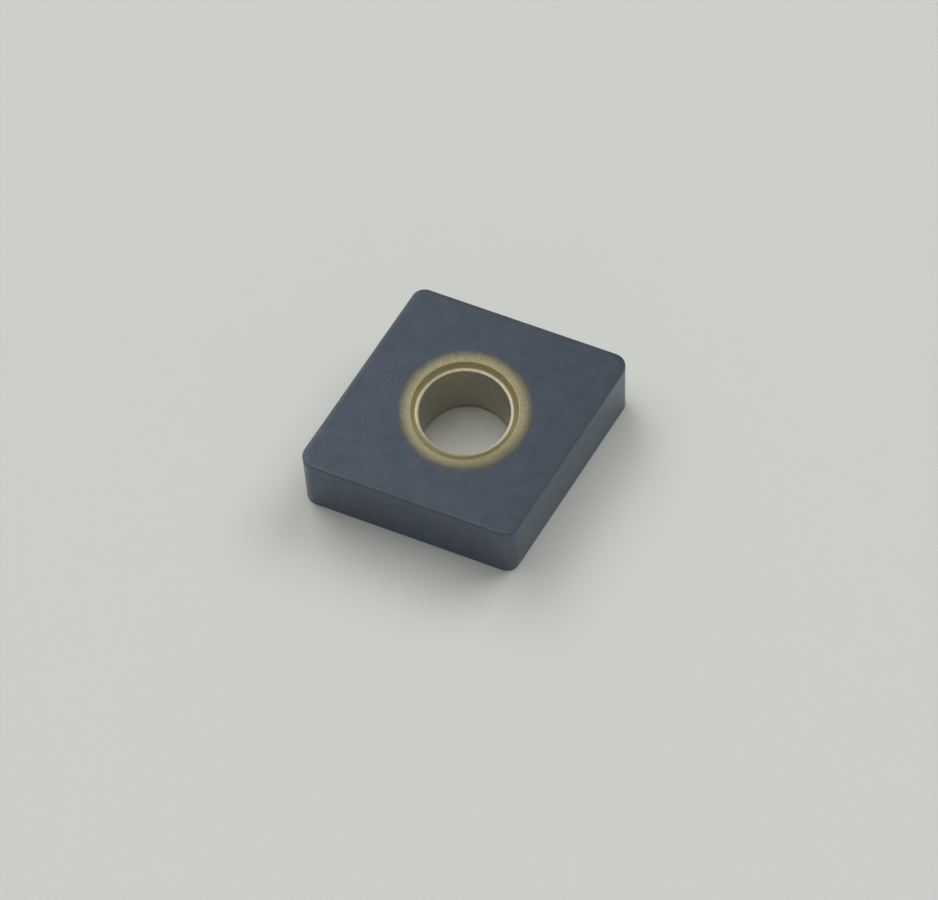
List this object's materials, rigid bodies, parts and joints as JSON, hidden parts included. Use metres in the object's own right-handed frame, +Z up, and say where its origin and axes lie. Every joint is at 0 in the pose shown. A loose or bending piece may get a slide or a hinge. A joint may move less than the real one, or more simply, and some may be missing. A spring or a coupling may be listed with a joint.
{
  "type": "indexable cutting insert",
  "caption": "Flat rhombic indexable cutting insert with rounded corners, square flanks and a round through hole, slate coloured with gold round the hole; cuts metal when held in a toolholder.",
  "frame": {"origin": "on the hole's axis, in the bottom seating face", "axes": "+Z up the hole from the bottom face to the top face, +X along the long diagonal to an 80 degree cutting corner, +Y along the short diagonal to a 100 degree corner"},
  "size_m": [0.0188, 0.016, 0.0048],
  "materials": {
    "coated_carbide": "satin"
  },
  "bodies": {
    "root": {"insert_body": "coated_carbide"}
  },
  "joints": []
}
